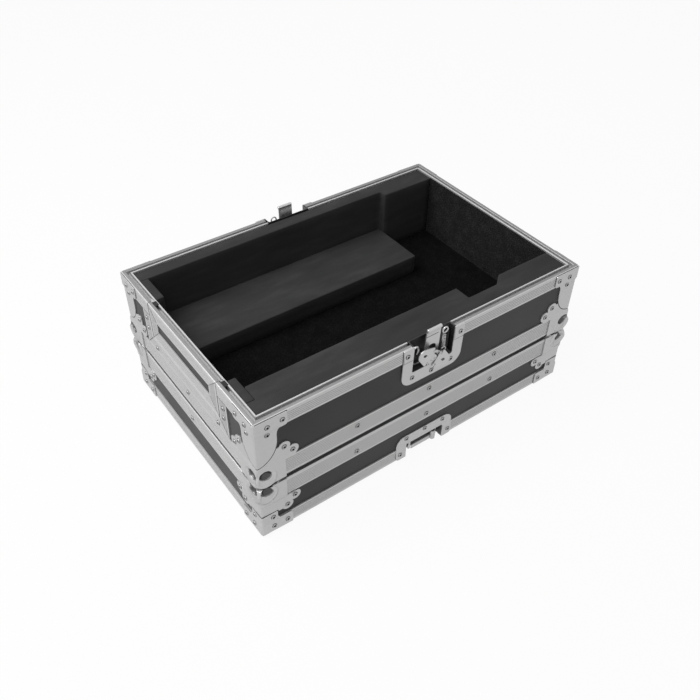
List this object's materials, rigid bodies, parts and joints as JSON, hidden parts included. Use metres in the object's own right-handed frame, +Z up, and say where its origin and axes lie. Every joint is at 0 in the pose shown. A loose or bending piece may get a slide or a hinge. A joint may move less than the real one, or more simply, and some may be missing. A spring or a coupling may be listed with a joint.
{
  "type": "mixer flight case",
  "caption": "Low road case for a tabletop mixer, open: foam-lined base with cable hatch, butterfly latches and ball corners, stacked on its own lid.",
  "frame": {"origin": "on the floor under the middle of the case, where the lid's tongue tips stand", "axes": "+X along the case towards the handle side, +Y towards the back latch, +Z up"},
  "size_m": [0.536, 0.3604, 0.2244],
  "materials": {
    "laminate": "black laminate on plywood, fine matte grain",
    "inner_board": "black felt-lined plywood",
    "profile_aluminium": "mill-finished extrusion with fine ribs along its length",
    "plate_steel": "zinc-plated pressing, satin",
    "ball_corner_steel": "zinc-plated pressing, bright on the ball",
    "latch_steel": "zinc-plated, fine brushed",
    "foam": "charcoal closed-cell foam with a smooth skin",
    "handle_grip": "black rubber grip on a steel bail"
  },
  "bodies": {
    "lid": {"lid_top_panel": "laminate", "lid_front_panel": "laminate", "lid_back_panel": "laminate", "lid_left_panel": "laminate", "lid_right_panel": "laminate", "lid_top_edging": "profile_aluminium", "lid_rim_left_half": "profile_aluminium", "lid_rim_right_half": "profile_aluminium", "lid_corner_brace_front_left": "plate_steel", "lid_corner_brace_front_right": "plate_steel", "lid_corner_brace_back_left": "plate_steel", "lid_corner_brace_back_right": "plate_steel", "lid_ball_corner_front_left": "ball_corner_steel", "lid_ball_corner_front_right": "ball_corner_steel", "lid_ball_corner_back_left": "ball_corner_steel", "lid_ball_corner_back_right": "ball_corner_steel", "lid_catch_front": "plate_steel", "lid_catch_back": "plate_steel", "lid_foam": "foam"},
    "base": {"base_floor_panel": "inner_board", "base_front_panel": "laminate", "base_back_panel": "laminate", "base_left_panel": "laminate", "base_right_panel": "laminate", "base_bottom_edging": "profile_aluminium", "base_rim_front_left": "profile_aluminium", "base_rim_front_right": "profile_aluminium", "base_rim_back_left": "profile_aluminium", "base_rim_back_right": "profile_aluminium", "base_rim_right": "profile_aluminium", "base_rim_left_front": "profile_aluminium", "base_rim_left_back": "profile_aluminium", "hatch_opening_frame": "profile_aluminium", "base_corner_brace_front_left": "plate_steel", "base_corner_brace_front_right": "plate_steel", "base_corner_brace_back_left": "plate_steel", "base_corner_brace_back_right": "plate_steel", "base_ball_corner_front_left": "ball_corner_steel", "base_ball_corner_front_right": "ball_corner_steel", "base_ball_corner_back_left": "ball_corner_steel", "base_ball_corner_back_right": "ball_corner_steel", "foam_front": "foam", "foam_back": "foam", "foam_left_front": "foam", "foam_left_back": "foam", "foam_platform": "foam", "front_latch_dish": "latch_steel", "back_latch_dish": "latch_steel", "handle_dish": "plate_steel"},
    "hatch": {"hatch_frame": "profile_aluminium", "hatch_panel": "laminate"},
    "handle": {"handle_bail": "handle_grip"},
    "front_claw": {"front_latch_claw": "latch_steel"},
    "front_rotor": {"front_latch_rotor": "latch_steel"},
    "front_wing_low": {"front_latch_wing_low": "latch_steel"},
    "front_wing_high": {"front_latch_wing_high": "latch_steel"},
    "back_claw": {"back_latch_claw": "latch_steel"},
    "back_rotor": {"back_latch_rotor": "latch_steel"},
    "back_wing_low": {"back_latch_wing_low": "latch_steel"},
    "back_wing_high": {"back_latch_wing_high": "latch_steel"}
  },
  "joints": [
    {"name": "base_lift", "type": "slide", "parent": "lid", "child": "base", "axis": [0, 0, 1], "range_m": [0, 0.15]},
    {"name": "hatch_slide", "type": "slide", "parent": "base", "child": "hatch", "axis": [0, 0, 1], "range_m": [0, 0.07]},
    {"name": "handle_swing", "type": "hinge", "parent": "base", "child": "handle", "pos_m": [0.2596, 0, 0.174], "axis": [0, -1, 0], "range_deg": [0, 90]},
    {"name": "front_latch_turn", "type": "hinge", "parent": "base", "child": "front_rotor", "pos_m": [0, -0.176, 0.176], "axis": [0, 1, 0], "range_deg": [0, 180]},
    {"name": "front_claw_draw", "type": "slide", "parent": "base", "child": "front_claw", "axis": [0, 0, 1], "range_m": [-0.0115, 0]},
    {"name": "front_wing_low_fold", "type": "hinge", "parent": "front_rotor", "child": "front_wing_low", "pos_m": [0.00539, -0.1788, 0.17237], "axis": [-0.5592, 0, -0.829], "range_deg": [0, 90]},
    {"name": "front_wing_high_fold", "type": "hinge", "parent": "front_rotor", "child": "front_wing_high", "pos_m": [-0.00539, -0.1788, 0.17963], "axis": [0.5592, 0, 0.829], "range_deg": [0, 90]},
    {"name": "back_latch_turn", "type": "hinge", "parent": "base", "child": "back_rotor", "pos_m": [0, 0.176, 0.176], "axis": [0, -1, 0], "range_deg": [0, 180]},
    {"name": "back_claw_draw", "type": "slide", "parent": "base", "child": "back_claw", "axis": [0, 0, 1], "range_m": [-0.0115, 0]},
    {"name": "back_wing_low_fold", "type": "hinge", "parent": "back_rotor", "child": "back_wing_low", "pos_m": [-0.00539, 0.1788, 0.17237], "axis": [0.5592, 0, -0.829], "range_deg": [0, 90]},
    {"name": "back_wing_high_fold", "type": "hinge", "parent": "back_rotor", "child": "back_wing_high", "pos_m": [0.00539, 0.1788, 0.17963], "axis": [-0.5592, 0, 0.829], "range_deg": [0, 90]}
  ],
  "couplings": [
    {"joint": "front_claw_draw", "follows": "front_latch_turn", "m_per_rad": -0.0035014},
    {"joint": "back_claw_draw", "follows": "back_latch_turn", "m_per_rad": -0.0035014}
  ]
}
